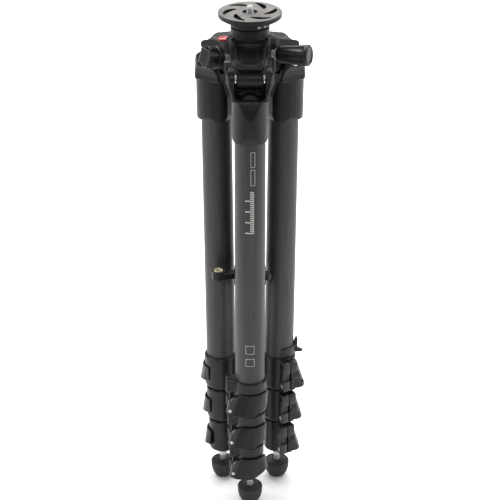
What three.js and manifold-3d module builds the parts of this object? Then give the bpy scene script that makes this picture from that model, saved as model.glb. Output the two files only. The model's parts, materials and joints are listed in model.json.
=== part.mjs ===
// Folded photographic tripod: three four-section carbon legs with flip locks, a shoulder casting,
// a geared centre column with a folding crank, and a flat head plate.
// Millimetres, +Z up. The column axis is the Z axis of the working frame, and the front leg is on -Y.
import * as THREE from 'three';
import { ConvexGeometry } from 'three/addons/geometries/ConvexGeometry.js';
import { mergeVertices } from 'three/addons/utils/BufferGeometryUtils.js';
import Module from 'manifold-3d';

const wasm = await Module();
wasm.setup();

const radians = THREE.MathUtils.degToRad;

// ---- Driving dimensions -------------------------------------------------------------------------
const GAP = 0.3; // running clearance between touching pieces
const PIN_HEIGHT = 598; // hinge pin axis above the floor
const PIN_RADIUS = 48.7; // hinge pin axis from the column axis
const LEAN = radians(0.7); // folded legs lean in towards the feet
const LEGS = { front: radians(0), right: radians(120), left: radians(-120) };

const TUBE_RADIUS = [18.9, 16.5, 14.6, 12.4];
const TUBE_WALL = 1.2;
// Distances below the hinge pin, along the leg.
const TUBE_TOP = [36, 45, 48, 51];
const TUBE_BOTTOM = [429, 478, 527, 556];
const LOCK_TOP = [410, 459, 508];
const FOOT_BOTTOM = 598;

// Lock collars and levers. Heights are above the lower end of the collar.
const LOCK_RADIUS = [21.8, 19.8, 17.9];
const LOCK_HEIGHT = 45;
const BRACKET_REACH = 9.2; // how far the lever bracket stands out from the collar
const BOSS_BOTTOM = 27.5;
const BRACKET_TOP = 43;
const PIVOT = { out: 3.4, y: -5, pin: 1.6, barrel: 3.2 };
const LEVER_FOOT = 2.2;
const LEVER_TOP = 30;
const LEVER_BARREL_TOP = 15.5;
const LEVER_TIP = [21.9, 20.2, 24.6];
const LEVER_FULLNESS = 9; // how far the lever's pivot end reaches beyond the collar
// The lever's lower edge on the largest lock, from the pivot end round to the finger tip.
const LEVER_OUTLINE = [
  [-28.2, -6.5], [-30.3, -12], [-30.3, -19], [-28.5, -22.5], [-22, -27.5], [-8, -31], [4, -30], [13, -25.5],
];
const LEVER_TOP_RADIUS = 24.2;

const EAR_OUTER = 28.5; // half width over the fork ears
const EAR_INNER = 18.2; // half width of the fork slot
const EAR_RADIUS = 14.5;
const SLEEVE_HALF = 22.2; // half width of the fork below its ears
const SLOT_FLOOR = -23;
const SLOT_STEP = -15; // floor of the slot behind the latch
const HINGE_RADIUS = 4;
const HINGE_INSET = 1.4; // how far each end of the pin sits inside the ear
const LATCH = { half: 11.5, back: -15, front: -2, bottom: -23.5, top: -13.5, travel: 6 };
const LUG_HALF = 17.4;
const LUG_RADIUS = 12;

const COLUMN_RADIUS = 16;
const COLUMN_WALL = 2;
const COLUMN_TOP = 652;
const COLUMN_BOTTOM = 296;
const NECK_RADIUS = 23.6;
const HUB_RADIUS = 30;
const HUB_BOTTOM = 592;
const HUB_TOP = 646.5;
const PLATE_TOP = 664;
const PLATE_RADIUS = 38.3;
const PLATE_TIER_RADIUS = 34.3;
const SLOT_COUNT = 6;
const SLOT_SPIRAL = { start: -30, sweep: 49, inner: 19, outer: 33, half: 3.6 };
const SCREW_RADIUS = 4.75;
const CAP = { x: -31.5, y: 10.8, z: 625.5, radius: 7, depth: 3 };

const END_ARM = { azimuth: 200, reach: 42.6, radius: 8.2, bottom: 314, top: 326 };
const SHORT_ARMS = [90, 330];
const INSERT = { radius: 5.6, hole: 2.4, bottom: 317, top: 327 };

const CRANK = { azimuth: radians(210), reach: 42, height: 613, tilt: radians(15), radius: 14 };
const KNOB = { azimuth: radians(338), reach: 36, height: 615, tilt: radians(5), radius: 13 };
const SHAFT_RADIUS = 5;
const HANDLE_PIN = { side: -7, out: 15.5, radius: 2 };
const HANDLE = { half: 9.4, depth: 7, radius: 13.4 };
const FLUTES = { count: 5, start: 67, reach: 17, radius: 6.5 };

const SIDES_TUBE = 16;
const SIDES_HUB = 24;
const SIDES_SMALL = 8;

// ---- Materials ----------------------------------------------------------------------------------
const paint = (color, roughness, metalness) =>
  new THREE.MeshStandardMaterial({ color, roughness, metalness });
const CARBON = paint(0x4e4b48, 0.4, 0.1);
const CASTING = paint(0x232325, 0.45, 0.3);
const PLASTIC = paint(0x1d1d1f, 0.5, 0);
const RUBBER = paint(0x19191a, 0.85, 0);
const ALLOY = paint(0xbab4ac, 0.35, 0.9);
const STEEL = paint(0xb8b8ba, 0.3, 1);
const BRASS = paint(0xb08d3f, 0.35, 1);
const RED = paint(0xb3201c, 0.4, 0);

// ---- Solids -------------------------------------------------------------------------------------
// A closed three.js geometry as a manifold solid, with its faces turned outward.
function solid(geometry) {
  geometry.deleteAttribute('normal');
  geometry.deleteAttribute('uv');
  const welded = mergeVertices(geometry);
  const index = welded.index.array;
  const faces = [];
  for (let i = 0; i < index.length; i += 3) {
    const [a, b, c] = [index[i], index[i + 1], index[i + 2]];
    if (a !== b && b !== c && c !== a) faces.push([a, b, c]);
  }
  const spot = (i) => new THREE.Vector3().fromBufferAttribute(welded.attributes.position, i);
  const volume = faces.reduce((sum, [a, b, c]) => sum + spot(a).dot(spot(b).cross(spot(c))), 0);
  const outward = volume < 0 ? faces.map(([a, b, c]) => [a, c, b]) : faces;
  return new wasm.Manifold(new wasm.Mesh({
    numProp: 3,
    vertProperties: Float32Array.from(welded.attributes.position.array),
    triVerts: Uint32Array.from(outward.flat()),
  }));
}

function mesh(name, body, material) {
  const data = body.getMesh();
  const geometry = new THREE.BufferGeometry();
  geometry.setAttribute('position', new THREE.BufferAttribute(data.vertProperties, 3));
  geometry.setIndex(new THREE.BufferAttribute(data.triVerts, 1));
  geometry.computeVertexNormals();
  const piece = new THREE.Mesh(geometry, material);
  piece.name = name;
  return piece;
}

const joined = (first, ...rest) => rest.reduce((sum, next) => sum.add(next), first);
const cut = (first, ...rest) => rest.reduce((left, next) => left.subtract(next), first);

function box(x0, x1, y0, y1, z0, z1) {
  const shape = new THREE.BoxGeometry(x1 - x0, y1 - y0, z1 - z0);
  return solid(shape.translate((x0 + x1) / 2, (y0 + y1) / 2, (z0 + z1) / 2));
}

// A body of revolution about Z. The profile is a list of [radius, height].
function turned(profile, sides = SIDES_TUBE, matrix = new THREE.Matrix4()) {
  const points = profile.map(([r, z]) => new THREE.Vector2(r, z));
  const shape = new THREE.LatheGeometry(points, sides);
  return solid(shape.rotateX(Math.PI / 2).applyMatrix4(matrix));
}

const disc = (radius, z0, z1, sides = SIDES_TUBE, matrix) =>
  turned([[0, z0], [radius, z0], [radius, z1], [0, z1]], sides, matrix);

const pipe = (outer, inner, z0, z1, sides = SIDES_TUBE) =>
  turned([[inner, z0], [outer, z0], [outer, z1], [inner, z1], [inner, z0]], sides);

const shift = (x, y, z) => new THREE.Matrix4().makeTranslation(x, y, z);
const ALONG_X = new THREE.Matrix4().makeRotationY(Math.PI / 2);

const UNIT_X = new THREE.Vector3(1, 0, 0);
const UNIT_Y = new THREE.Vector3(0, 1, 0);
const UNIT_Z = new THREE.Vector3(0, 0, 1);
const PLANES = {
  xy: new THREE.Matrix4(),
  yz: new THREE.Matrix4().makeBasis(UNIT_Y, UNIT_Z, UNIT_X),
  xz: new THREE.Matrix4().makeBasis(UNIT_X, UNIT_Z, UNIT_Y.clone().negate()),
};

// An outline in the named plane, extruded along that plane's normal from one depth to the other.
// The normal of xz is -Y.
function slab(outline, plane, from, to) {
  const shape = new THREE.Shape(outline.map(([a, b]) => new THREE.Vector2(a, b)));
  const options = { depth: to - from, bevelEnabled: false };
  const raised = new THREE.ExtrudeGeometry(shape, options).translate(0, 0, from);
  return solid(raised.applyMatrix4(PLANES[plane]));
}

const mirrored = (outline) => [...outline, ...outline.map(([x, y]) => [-x, y]).reverse()];

const arc = (x, y, radius, start, end, steps) =>
  Array.from({ length: steps + 1 }, (_, i) => {
    const angle = radians(start + ((end - start) * i) / steps);
    return [x + radius * Math.cos(angle), y + radius * Math.sin(angle)];
  });

// The convex body round a list of [x, y, z] points.
const hull = (points) => solid(new ConvexGeometry(points.map(([x, y, z]) => new THREE.Vector3(x, y, z))));

// A faceted bore wide enough for a faceted pin of this radius to turn in.
const turningBore = (radius) => (radius + GAP) / Math.cos(Math.PI / SIDES_SMALL);

// ---- Shoulder casting ---------------------------------------------------------------------------
// One arm of the casting, for the leg on -Y: the barrel that the leg turns on, and the shoulder skin.
// It is drawn about the hinge pin.
function spiderArm() {
  const side = [
    [44.7, HUB_BOTTOM - PIN_HEIGHT], [8, -10], ...arc(0, 0, LUG_RADIUS, -60, -250, 8), [-4.8, 14.5],
    [-11.5, 15.3], [-12, 20.5], [-10, 23], [-6.3, 25.8], [-1.3, 27.7], [8.7, 29.3], [18.7, 32.5],
    [24.7, 35.5], [30.7, 37], [44.7, 39.5],
  ];
  const plan = mirrored([[26, 40.7], [22, 24.7], [LUG_HALF, 17.7], [15.5, -12.5]]);
  const arm = slab(side, 'yz', -27, 27).intersect(slab(plan, 'xy', -28, 42));
  return cut(arm.translate([0, -PIN_RADIUS, PIN_HEIGHT]), armDish());
}

// The hollow between the two side ridges on top of an arm. Each station has its distance from the
// column, the heights of floor and ridge, and the half widths there.
function armDish() {
  const stations = [
    { out: 61.5, floor: 617.8, ridge: 621, floorHalf: 9, ridgeHalf: 14.5 },
    { out: 48, floor: 618.5, ridge: 626, floorHalf: 8, ridgeHalf: 15 },
    { out: 38, floor: 621.5, ridge: 628, floorHalf: 7, ridgeHalf: 16 },
    { out: 31, floor: 625, ridge: 631, floorHalf: 6, ridgeHalf: 18 },
    { out: 27, floor: 628.5, ridge: 632.5, floorHalf: 3, ridgeHalf: 20 },
    { out: 24.6, floor: 637.5, ridge: 637.5, floorHalf: 3, ridgeHalf: 20 },
  ];
  const sky = 680;
  const section = ({ out, floor, ridge, floorHalf, ridgeHalf }) => [1, -1].flatMap((side) => [
    [side * floorHalf, -out, floor], [side * ridgeHalf, -out, ridge], [side * ridgeHalf, -out, sky],
  ]);
  return hull(stations.flatMap(section));
}

function spider() {
  const hub = turned([
    [0, HUB_BOTTOM], [HUB_RADIUS - 3, HUB_BOTTOM], [HUB_RADIUS, HUB_BOTTOM + 4], [HUB_RADIUS, 619],
    [26.3, 631], [NECK_RADIUS, 635], [NECK_RADIUS, HUB_TOP], [0, HUB_TOP],
  ], SIDES_HUB);
  const arm = spiderArm();
  const hinge = disc(turningBore(HINGE_RADIUS), -30, 30, SIDES_SMALL, ALONG_X.clone()
    .premultiply(shift(0, -PIN_RADIUS, PIN_HEIGHT)));
  const turns = Object.values(LEGS).map((angle) => THREE.MathUtils.radToDeg(angle));
  const arms = turns.map((angle) => arm.rotate([0, 0, angle]));
  const hinges = turns.map((angle) => hinge.rotate([0, 0, angle]));
  const bore = disc(COLUMN_RADIUS + GAP, 580, 660, SIDES_TUBE);
  return mesh('spider', cut(
    joined(hub, ...arms), bore, ...hinges, radialBore(CRANK), radialBore(KNOB), capSeat(),
  ), CASTING);
}

// The side bore that a radial shaft turns in, in the column frame.
function radialBore({ azimuth, reach, height, tilt }) {
  const place = new THREE.Matrix4().makeRotationZ(azimuth)
    .multiply(shift(reach, 0, height))
    .multiply(new THREE.Matrix4().makeRotationY(-tilt))
    .multiply(ALONG_X);
  return disc(turningBore(SHAFT_RADIUS), -reach + 6, 2, SIDES_SMALL, place);
}

// ---- Red cap on the left shoulder ---------------------------------------------------------------
const capPlace = () => shift(CAP.x, CAP.y, CAP.z);

const capSeat = () => disc(CAP.radius + GAP, -CAP.depth, 20, SIDES_SMALL, capPlace());

function redCap() {
  const bottom = -CAP.depth + GAP;
  const profile = [[0, bottom], [CAP.radius, bottom], [CAP.radius, 0.8], [CAP.radius - 0.8, 1.5], [0, 1.5]];
  return mesh('level_cap', turned(profile, SIDES_SMALL, capPlace()), RED);
}

// ---- Column, head plate and end fitting ---------------------------------------------------------
function column() {
  const tube = pipe(COLUMN_RADIUS, COLUMN_RADIUS - COLUMN_WALL, COLUMN_BOTTOM, COLUMN_TOP);
  return mesh('column_tube', tube, CARBON);
}

// A leaf-shaped slot along a spiral that opens outward.
function plateSlot() {
  const { start, sweep, inner, outer, half } = SLOT_SPIRAL;
  const steps = 6;
  const spine = (t) => {
    const angle = radians(start + sweep * t);
    const radius = inner + (outer - inner) * t;
    return new THREE.Vector2(radius * Math.cos(angle), radius * Math.sin(angle));
  };
  const edge = (side) => Array.from({ length: steps + 1 }, (_, i) => {
    const t = i / steps;
    const along = spine(t + 0.01).sub(spine(t - 0.01)).normalize();
    const width = side * half * Math.sin(Math.PI * (0.1 + 0.8 * t));
    return [spine(t).x - along.y * width, spine(t).y + along.x * width];
  });
  return slab([...edge(1), ...edge(-1).reverse()], 'xy', PLATE_TOP - 4, PLATE_TOP + 1);
}

function topPlate() {
  const bottom = HUB_TOP + GAP;
  const body = turned([
    [0, bottom], [NECK_RADIUS, bottom], [NECK_RADIUS, 654.5], [PLATE_TIER_RADIUS, 655.5],
    [PLATE_TIER_RADIUS, 657], [PLATE_RADIUS, 658], [PLATE_RADIUS, PLATE_TOP - 0.6],
    [PLATE_RADIUS - 0.6, PLATE_TOP], [0, PLATE_TOP],
  ], SIDES_HUB);
  const slot = plateSlot();
  const slots = Array.from({ length: SLOT_COUNT }, (_, i) => slot.rotate([0, 0, (i * 360) / SLOT_COUNT]));
  const socket = disc(COLUMN_RADIUS + GAP, 640, COLUMN_TOP + GAP, SIDES_TUBE);
  const recess = disc(9, PLATE_TOP - 3, PLATE_TOP + 1, SIDES_TUBE);
  const thread = disc(SCREW_RADIUS + GAP, 650, PLATE_TOP, SIDES_SMALL);
  return mesh('top_plate', cut(body, socket, recess, thread, ...slots), ALLOY);
}

function headScrew() {
  const bottom = COLUMN_TOP + 1;
  const profile = [
    [0, bottom], [SCREW_RADIUS, bottom], [SCREW_RADIUS, 670], [SCREW_RADIUS - 1, 671], [0, 671],
  ];
  return mesh('head_screw', turned(profile, SIDES_SMALL), STEEL);
}

// The fitting on the column's lower end, with one long arm that ends in a threaded boss.
function endFitting() {
  const barrel = turned([
    [0, 290], [14, 290], [18, 293], [20, 300], [20, 322], [19, 332], [0, 332],
  ], SIDES_TUBE);
  const rib = (azimuth, tip) => slab(
    [[0, -6], ...arc(tip - 6, 0, 6, -90, 90, 6), [0, 6]], 'xy', 313, 321,
  ).rotate([0, 0, azimuth]);
  const boss = disc(END_ARM.radius, END_ARM.bottom, END_ARM.top, SIDES_TUBE, insertPlace());
  const socket = disc(COLUMN_RADIUS + GAP, COLUMN_BOTTOM - GAP, 340, SIDES_TUBE);
  const seat = disc(INSERT.radius + GAP, INSERT.bottom - GAP, 340, SIDES_SMALL, insertPlace());
  const ribs = [rib(END_ARM.azimuth, END_ARM.reach), ...SHORT_ARMS.map((azimuth) => rib(azimuth, 30))];
  return mesh('column_end_fitting', cut(joined(barrel, boss, ...ribs), socket, seat), CASTING);
}

const insertPlace = () => new THREE.Matrix4().makeRotationZ(radians(END_ARM.azimuth))
  .multiply(shift(END_ARM.reach, 0, 0));

function brassInsert() {
  const { radius, hole, bottom, top } = INSERT;
  const profile = [[hole, bottom], [radius, bottom], [radius, top], [hole, top], [hole, bottom]];
  return mesh('brass_insert', turned(profile, SIDES_SMALL, insertPlace()), BRASS);
}

// ---- Crank and lock knob ------------------------------------------------------------------------
// Both are built along their own +Z, and radialFrame lays that axis outward from the column.
function radialFrame({ azimuth, reach, height, tilt }, ...pieces) {
  const frame = new THREE.Group();
  frame.rotation.set(0, 0, azimuth);
  const axis = new THREE.Group();
  axis.position.set(reach, 0, height);
  axis.rotation.set(0, Math.PI / 2 - tilt, 0);
  axis.add(...pieces);
  frame.add(axis);
  return frame;
}

// A shaft from just short of the column's surface to the knob.
function shaft(name, { reach, tilt }, inset) {
  const inner = -(reach - COLUMN_RADIUS - 0.8) / Math.cos(tilt) + inset;
  return mesh(name, disc(SHAFT_RADIUS, inner, -GAP, SIDES_SMALL), STEEL);
}

const handlePinPlace = () => ALONG_X.clone().premultiply(shift(0, HANDLE_PIN.side, HANDLE_PIN.out));

// The crank's drum, with a cheek on each side of the folded handle.
function crankHub() {
  const drum = turned([
    [0, 0], [CRANK.radius - 1.5, 0], [CRANK.radius, 1.5], [CRANK.radius, 7], [CRANK.radius - 0.8, 8], [0, 8],
  ], SIDES_TUBE);
  const cheeks = box(10, 14, -14, 14, 7, 20)
    .add(box(-14, -10, -14, 14, 7, 20))
    .intersect(disc(CRANK.radius - 0.8, 0, 30, SIDES_TUBE));
  const pin = disc(HANDLE_PIN.radius, -11, 11, SIDES_SMALL, handlePinPlace());
  return mesh('crank_hub', joined(drum, cheeks, pin), PLASTIC);
}

function crankHandle() {
  const { side, out } = HANDLE_PIN;
  const { half, depth, radius } = HANDLE;
  const outline = [
    ...arc(side, out, depth, 270, 90, 6), [6, out + depth], [12.5, out + 5], [13.5, out], [12.5, out - depth],
  ];
  const bar = slab(outline, 'yz', -half, half).intersect(disc(radius, 0, 40, SIDES_TUBE));
  const bore = disc(HANDLE_PIN.radius + GAP, -12, 12, SIDES_SMALL, handlePinPlace());
  return mesh('crank_handle', bar.subtract(bore), PLASTIC);
}

function lockKnob() {
  const body = turned([
    [0, 0], [9, 0], [10.5, 3], [11, 12], [KNOB.radius - 0.8, 30], [KNOB.radius, 39], [KNOB.radius - 1.5, 41],
    [0, 41],
  ], SIDES_TUBE);
  const flutes = Array.from({ length: FLUTES.count }, (_, i) => {
    const angle = radians(FLUTES.start + (i * 360) / FLUTES.count);
    const place = new THREE.Matrix4().makeRotationZ(angle).multiply(shift(FLUTES.reach, 0, 0));
    return disc(FLUTES.radius, 5, 36, SIDES_SMALL, place);
  });
  return mesh('lock_knob', cut(body, ...flutes), PLASTIC);
}

// ---- Leg ----------------------------------------------------------------------------------------
// Leg pieces are built with the hinge pin axis on X through the origin, the leg down -Z, outward -Y.
const oval = (half, depth, z0, z1) =>
  disc(1, z0, z1, SIDES_TUBE, new THREE.Matrix4().makeScale(half, depth, 1));

function legFork() {
  const front = mirrored([
    [24, 15], [EAR_OUTER, 9], [EAR_OUTER, -3], [24.8, -10], [SLEEVE_HALF, -18], [SLEEVE_HALF, -72],
    [20.2, -78],
  ]);
  const side = [
    ...arc(0, 0, EAR_RADIUS, 0, 190, 8), [-18.5, -18], [-22.8, -32], [-25, -46], [-25, -60], [-23.6, -71],
    [-20.4, -78], [20.4, -78], [22, -70], [22, -46], [19, -30],
  ];
  const plan = oval(22.4, 25, -79, -24).add(oval(30.5, 23.5, -24.5, 20));
  const core = slab(front, 'xz', -30, 30).intersect(slab(side, 'yz', -30, 30)).intersect(plan);
  const tubeBore = disc(TUBE_RADIUS[0] + GAP, -90, -TUBE_TOP[0] + GAP, SIDES_TUBE);
  const slot = box(-EAR_INNER, EAR_INNER, -40, 2, SLOT_FLOOR, 30);
  const slotBehind = box(-EAR_INNER, EAR_INNER, 1, 40, SLOT_STEP, 30);
  const hinge = disc(HINGE_RADIUS + GAP, -EAR_OUTER + 1, EAR_OUTER - 1, SIDES_SMALL, ALONG_X);
  const pocketHalf = LATCH.half + GAP;
  const pocketFloor = LATCH.bottom - LATCH.travel - GAP;
  const pocket = box(-pocketHalf, pocketHalf, LATCH.back - GAP, LATCH.front + GAP, pocketFloor, 0);
  return cut(core, tubeBore, slot, slotBehind, hinge, pocket);
}

const hingePin = () =>
  disc(HINGE_RADIUS, -EAR_OUTER + HINGE_INSET, EAR_OUTER - HINGE_INSET, SIDES_SMALL, ALONG_X);

// The sliding stop: a tongue under the barrel, seated in a pocket in the fork.
const angleLatch = () => box(-LATCH.half, LATCH.half, LATCH.back, LATCH.front, LATCH.bottom, LATCH.top);

function legTube(section) {
  const radius = TUBE_RADIUS[section];
  return pipe(radius, radius - TUBE_WALL, -TUBE_BOTTOM[section], -TUBE_TOP[section]);
}

const lockBottom = (section) => -LOCK_TOP[section] - LOCK_HEIGHT;
const pivotPlace = (section) => shift(-LOCK_RADIUS[section] - PIVOT.out, PIVOT.y, 0);

// The clamp collar at the foot of a tube section, with the split bracket and pin of its lever.
function lockCollar(section) {
  const radius = LOCK_RADIUS[section];
  const top = -LOCK_TOP[section];
  const bottom = lockBottom(section);
  const outer = -radius - BRACKET_REACH;
  const ring = turned([
    [0, bottom], [radius - 1, bottom], [radius, bottom + 2], [radius, top - 1.5], [radius - 1.2, top],
    [0, top],
  ]);
  const flange = box(outer, -radius + 3, 0.4, 10.5, bottom + 1, bottom + BRACKET_TOP)
    .subtract(box(outer - 1, outer + 2.8, 0, 11, bottom + 16, bottom + 27));
  const boss = box(outer, -radius + 5, -11, -0.4, bottom + BOSS_BOTTOM, bottom + BRACKET_TOP);
  const shelf = box(-radius - 6.8, -radius + 6, -9, 1, bottom + 0.2, bottom + LEVER_FOOT - GAP);
  const pin = disc(PIVOT.pin, bottom + 0.4, bottom + BOSS_BOTTOM + 2, SIDES_SMALL, pivotPlace(section));
  const upper = disc(TUBE_RADIUS[section] + GAP, -TUBE_BOTTOM[section] - GAP, top + 1);
  const lower = disc(TUBE_RADIUS[section + 1] + GAP, bottom - 1, top);
  return cut(joined(ring, flange, boss, shelf), upper, lower).add(pin);
}

// The flip lever: a crescent round the outward side of the collar, fuller towards its lower edge.
function flipLever(section) {
  const radius = LOCK_RADIUS[section];
  const scale = (radius + LEVER_FULLNESS) / (LOCK_RADIUS[0] + LEVER_FULLNESS);
  const bottom = lockBottom(section);
  const low = bottom + LEVER_FOOT;
  const high = bottom + LEVER_TOP;
  const tip = LEVER_TIP[section];
  const lowerEdge = [
    ...LEVER_OUTLINE.map(([x, y]) => [x * scale, y * scale]), [tip * 0.89, -18 * scale], [tip, -8 * scale],
  ];
  const upperEdge = arc(0, 0, LEVER_TOP_RADIUS * scale, 180, 360, 8);
  const full = hull([...lowerEdge.map(([x, y]) => [x, y, low]), ...upperEdge.map(([x, y]) => [x, y, high])]);
  const side = (points) => slab(points.map(([x, z]) => [x * scale, bottom + z]), 'xz', -60, 60);
  const pivotCorner = side([
    [-40, LEVER_BARREL_TOP], [-26, LEVER_BARREL_TOP], [-20, 24], [-13, 29], [-4, 30.5], [-4, 40], [-40, 40],
  ]);
  const tipCorner = side([[2, 1], [22, 9.5], [40, 17.2], [40, -5], [2, -5]]);
  const inside = disc(radius + 0.9, low - 1, high + 1);
  const behind = box(-60, 60, -6, 60, low - 1, high + 1);
  const crescent = cut(full, inside, behind, pivotCorner, tipCorner);
  const place = pivotPlace(section);
  const barrel = disc(PIVOT.barrel, low, bottom + LEVER_BARREL_TOP, SIDES_SMALL, place);
  const bore = disc(PIVOT.pin + GAP, low - 1, high, SIDES_SMALL, place);
  return crescent.add(barrel).subtract(bore);
}

function footStud() {
  const bore = TUBE_RADIUS[3] - TUBE_WALL - GAP;
  const shoulder = -TUBE_BOTTOM[3] - GAP;
  const top = -TUBE_BOTTOM[3] + 12;
  return turned([
    [0, -584], [4.2, -584], [4.2, -566], [6, -565], [6, shoulder], [bore, shoulder], [bore, top], [0, top],
  ], SIDES_SMALL);
}

// A rubber foot like half a ball. The small flat under it stands level although the leg leans.
function footPad() {
  const ball = turned([
    [0, -FOOT_BOTTOM - 1], [7.5, -FOOT_BOTTOM - 1], [11.5, -595.5], [14.3, -590.5], [15.9, -584],
    [16.2, -576], [15.4, -574.6], [0, -573.6],
  ]);
  const floor = box(-30, 30, -30, 30, -FOOT_BOTTOM - 10, -FOOT_BOTTOM)
    .translate([0, 0, PIN_HEIGHT])
    .rotate([-THREE.MathUtils.radToDeg(LEAN), 0, 0])
    .translate([0, 0, -PIN_HEIGHT]);
  const socket = disc(4.2 + GAP, -584 - GAP, -560, SIDES_SMALL);
  return cut(ball, floor, socket);
}

// The key clip on the first section of the right leg: an open band with a hook and a pointed fin.
function toolClip() {
  const towards = 240;
  const band = disc(TUBE_RADIUS[0] + 2.4, -408.5, -396);
  const fin = slab([[18, -400], [30.5, -405.5], [31, -406.8], [30.5, -407.8], [18, -409]], 'xz', -2.5, 2.5)
    .rotate([0, 0, towards]);
  const hook = box(20, 24.2, -3, 3, -405, -387).rotate([0, 0, towards]);
  const opening = slab([[0, 0], ...arc(0, 0, 40, 10, 161, 4)], 'xy', -410, -380);
  return cut(joined(band, fin, hook), disc(TUBE_RADIUS[0] + GAP, -411, -380), opening);
}

function leg(name, turn) {
  const post = new THREE.Group();
  post.position.set(0, -PIN_RADIUS, PIN_HEIGHT);
  post.rotation.set(LEAN, 0, 0);
  post.add(
    mesh(`${name}_leg_fork`, legFork(), CASTING),
    mesh(`${name}_hinge_pin`, hingePin(), STEEL),
    mesh(`${name}_angle_latch`, angleLatch(), PLASTIC),
    mesh(`${name}_foot_stud`, footStud(), STEEL),
    mesh(`${name}_foot_pad`, footPad(), RUBBER),
  );
  TUBE_RADIUS.forEach((_, section) => post.add(
    mesh(`${name}_tube_${section + 1}`, legTube(section), CARBON),
  ));
  LOCK_TOP.forEach((_, section) => post.add(
    mesh(`${name}_lock_${section + 1}`, lockCollar(section), PLASTIC),
    mesh(`${name}_lever_${section + 1}`, flipLever(section), PLASTIC),
  ));
  if (name === 'right') post.add(mesh('tool_clip', toolClip(), PLASTIC));
  const side = new THREE.Group();
  side.rotation.set(0, 0, turn);
  side.add(post);
  return side;
}

// ---- Assembly -----------------------------------------------------------------------------------
const tripod = new THREE.Group();
tripod.add(
  spider(), redCap(), column(), topPlate(), headScrew(), endFitting(), brassInsert(),
  radialFrame(CRANK, shaft('crank_shaft', CRANK, 1.4), crankHub(), crankHandle()),
  radialFrame(KNOB, shaft('lock_stud', KNOB, 0.6), lockKnob()),
  ...Object.entries(LEGS).map(([name, turn]) => leg(name, turn)),
);

// The origin is the middle of the footprint, on the floor.
tripod.updateMatrixWorld(true);
const extent = new THREE.Box3().setFromObject(tripod, true);
const middle = extent.getCenter(new THREE.Vector3());
tripod.position.set(-middle.x, -middle.y, -extent.min.z);

export default tripod;
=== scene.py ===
"""Looks for a folded camera tripod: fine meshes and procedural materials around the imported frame."""
import json
import math

import bmesh
import bpy
from mathutils import Matrix, Vector


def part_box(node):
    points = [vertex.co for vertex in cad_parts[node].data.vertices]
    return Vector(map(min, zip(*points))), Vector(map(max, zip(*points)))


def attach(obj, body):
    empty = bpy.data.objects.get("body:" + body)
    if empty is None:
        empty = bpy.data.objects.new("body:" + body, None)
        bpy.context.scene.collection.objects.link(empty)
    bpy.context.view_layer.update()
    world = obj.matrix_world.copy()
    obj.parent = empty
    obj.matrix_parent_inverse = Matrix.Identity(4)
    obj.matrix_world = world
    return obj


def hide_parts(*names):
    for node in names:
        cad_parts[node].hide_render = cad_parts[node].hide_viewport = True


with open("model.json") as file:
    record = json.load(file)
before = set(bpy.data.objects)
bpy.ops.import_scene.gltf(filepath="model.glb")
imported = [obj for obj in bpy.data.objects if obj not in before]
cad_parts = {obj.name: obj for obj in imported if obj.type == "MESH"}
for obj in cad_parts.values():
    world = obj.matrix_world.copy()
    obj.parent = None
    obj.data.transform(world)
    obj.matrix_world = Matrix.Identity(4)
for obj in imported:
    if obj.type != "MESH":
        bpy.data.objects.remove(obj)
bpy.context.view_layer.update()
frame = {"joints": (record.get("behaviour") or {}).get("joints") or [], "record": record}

# ---- Driving dimensions, millimetres -------------------------------------------------------------
MM = 0.001
TUBE_RADIUS = (18.9, 16.5, 14.6, 12.4)
TUBE_WALL = 1.2
TUBE_TOP = (36, 45, 48, 51)
TUBE_BOTTOM = (429, 478, 527, 556)
LOCK_TOP = (410, 459, 508)
LOCK_RADIUS = (21.8, 19.8, 17.9)
LOCK_HEIGHT = 45
BRACKET_REACH = 9.2
BOSS_BOTTOM = 27.5
BRACKET_TOP = 43
SCREW_OUT = 3.6
CLAMP_SCREW_UP = 36
PIVOT_NUT_UP = 8
PIVOT_OUT = 3.4
PIVOT_Y = -5
LEVER_FOOT = 2.2
LEVER_TOP = 30
LEVER_BARREL_TOP = 15.5
LEVER_GAP = 0.9
LEVER_TIP = (21.9, 20.2, 24.6)
LEVER_FULLNESS = 9
LEVER_OUTLINE = (
    (-28.2, -6.5), (-30.3, -12), (-30.3, -19), (-28.5, -22.5), (-22, -27.5), (-8, -31), (4, -30), (13, -25.5),
)
LEVER_TOP_RADIUS = 24.2
STUD_BOTTOM = 584
FOOT_BOTTOM = 598
BORE_GAP = 0.3

EAR_OUTER = 28.5
EAR_INNER = 18.2
EAR_RADIUS = 14.5
SLEEVE_HALF = 22.2
SLOT_FLOOR = -23
SLOT_STEP = -15
HINGE_RADIUS = 4
LATCH_HALF = 11.5
LUG_HALF = 17.4
LUG_RADIUS = 12

HEAD_TOP = 664
PIN_HEIGHT = 598
PIN_RADIUS = 48.7
COLUMN_RADIUS = 16
COLUMN_BORE = 14
COLUMN_BOTTOM = 296
COLUMN_TOP = 652
NECK_RADIUS = 23.6
NECK_BOTTOM = 646.5
HUB_RADIUS = 30
PLATE_RADIUS = 38.3
PLATE_TIER_RADIUS = 34.3
PLATE_SLOTS = 6
SCREW_RADIUS = 4.75
SCREW_TOP = 671
SCREW_PITCH = 1.6
CAP_RADIUS = 7
CAP_CENTRE = (-31.5, 10.8, 625.5)
END_ARM_AZIMUTH = 200
END_ARM_REACH = 42.6
END_ARM_RADIUS = 8.2
INSERT_RADIUS = 5.6
INSERT_HOLE = 2.4
INSERT_BOTTOM = 317
INSERT_TOP = 327
SHAFT_RADIUS = 5
CRANK_RADIUS = 14
FOLD_PIN = (-7, 15.5)
KNOB_RADIUS = 13

FINE_SIDES = 96
ROD_SIDES = 32
SMOOTH_ANGLE = 32
SOFTEN_ANGLE = 30
LEGS = ("front", "right", "left")

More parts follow.
